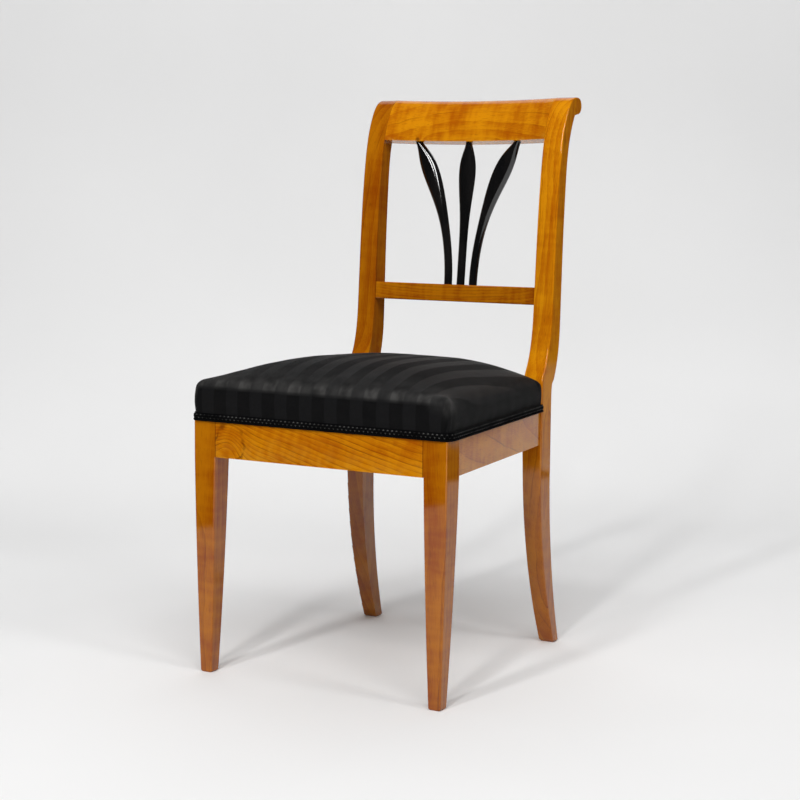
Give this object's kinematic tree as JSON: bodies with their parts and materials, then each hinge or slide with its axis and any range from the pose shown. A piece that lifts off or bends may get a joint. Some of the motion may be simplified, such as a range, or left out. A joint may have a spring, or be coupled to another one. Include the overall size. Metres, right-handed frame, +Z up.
{
  "type": "biedermeier chair",
  "caption": "Wooden dining chair with tapered front legs, sabre rear legs, a scrolled open back with leaf-shaped splat bars and a crowned stuff-over seat.",
  "frame": {"origin": "on the floor, under the middle of the chair's overall box", "axes": "+X to the right as seen from the front, +Y from front to back, +Z up"},
  "size_m": [0.4382, 0.5301, 0.882],
  "materials": {
    "cherry": "French polished cherry, honey orange",
    "ebonised_wood": "ebonised and polished, gloss black",
    "block_beech": "planed beech, unfinished",
    "striped_cover": "black tone-on-tone satin stripe",
    "gimp_braid": "black braided gimp",
    "jute_webbing": "woven jute",
    "hessian": "coarse plain weave",
    "hair_stuffing": "curled hair",
    "blued_steel": "blued cut tacks"
  },
  "bodies": {
    "root": {"left_front_leg": "cherry", "right_front_leg": "cherry", "left_back_post": "cherry", "right_back_post": "cherry", "front_rail": "cherry", "rear_rail": "cherry", "left_side_rail": "cherry", "right_side_rail": "cherry", "crest_rail": "cherry", "mid_rail": "cherry", "left_splat_bar": "ebonised_wood", "centre_splat_bar": "ebonised_wood", "right_splat_bar": "ebonised_wood", "left_front_corner_block": "block_beech", "right_front_corner_block": "block_beech", "left_rear_corner_block": "block_beech", "right_rear_corner_block": "block_beech", "lengthwise_webbing": "jute_webbing", "crosswise_webbing": "jute_webbing", "hessian_base": "hessian", "seat_stuffing": "hair_stuffing", "seat_cover": "striped_cover", "seat_gimp": "gimp_braid", "rear_gimp": "gimp_braid", "webbing_tacks": "blued_steel", "cover_tacks": "blued_steel"}
  },
  "joints": []
}
